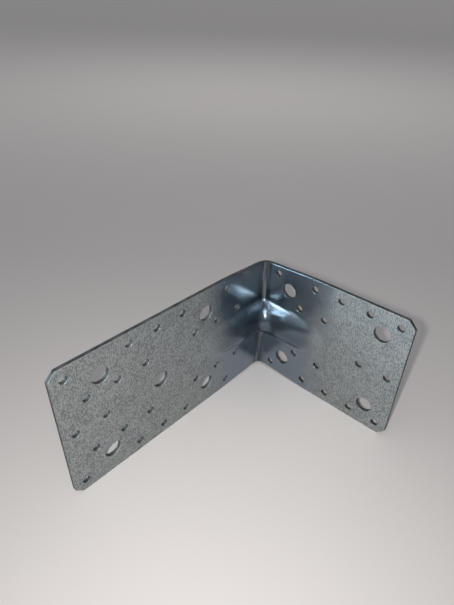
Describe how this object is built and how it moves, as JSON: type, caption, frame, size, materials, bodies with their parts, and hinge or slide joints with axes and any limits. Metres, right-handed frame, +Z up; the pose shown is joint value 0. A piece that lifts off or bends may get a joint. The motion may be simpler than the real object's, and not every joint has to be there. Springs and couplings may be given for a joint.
{
  "type": "reinforced corner brace bracket",
  "caption": "Square steel corner brace for timber, folded from one sheet, with a pressed stiffening rib across the fold and bolt and nail holes in both flanges.",
  "frame": {"origin": "the sharp outer corner that the two outer faces would meet in, at the lower edge of the fold", "axes": "+X along the long flange, away from the fold; +Y along the short flange, away from the fold; +Z up along the fold"},
  "size_m": [0.17, 0.113, 0.095],
  "materials": {
    "galvanised_steel": "hot-dip galvanised sheet, softly glossy, with a fine dark fleck over the flanges and a smoother, darker sheen on the pressed rib"
  },
  "bodies": {
    "root": {"bracket": "galvanised_steel"}
  },
  "joints": []
}
